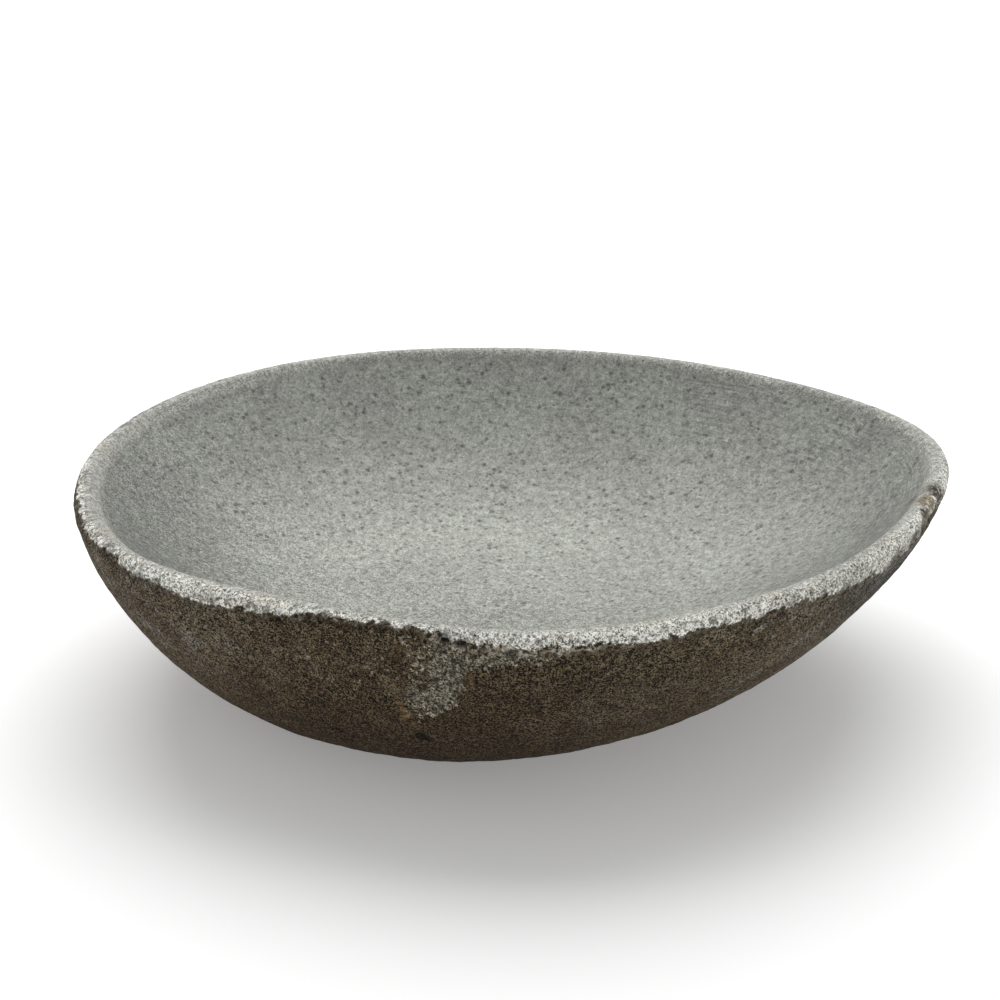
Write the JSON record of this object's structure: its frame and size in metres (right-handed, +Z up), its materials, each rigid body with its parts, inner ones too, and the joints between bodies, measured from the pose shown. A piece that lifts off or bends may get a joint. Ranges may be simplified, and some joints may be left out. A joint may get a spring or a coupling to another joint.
{
  "type": "river stone bowl",
  "caption": "Shallow free-standing bowl ground out of one river cobble, with a smooth dish, a rough broken lip and a natural weathered side.",
  "frame": {"origin": "middle of the bounding box in plan, on the flat sole's plane", "axes": "+Z up through the dish, +X towards the pointed end of the plan, -Y towards its blunt middle corner"},
  "size_m": [0.3533, 0.3095, 0.09],
  "materials": {
    "stone": "honed grey speckled dish, rough pale lip, dark brown weathered side"
  },
  "bodies": {
    "root": {"stone_bowl": "stone"}
  },
  "joints": []
}
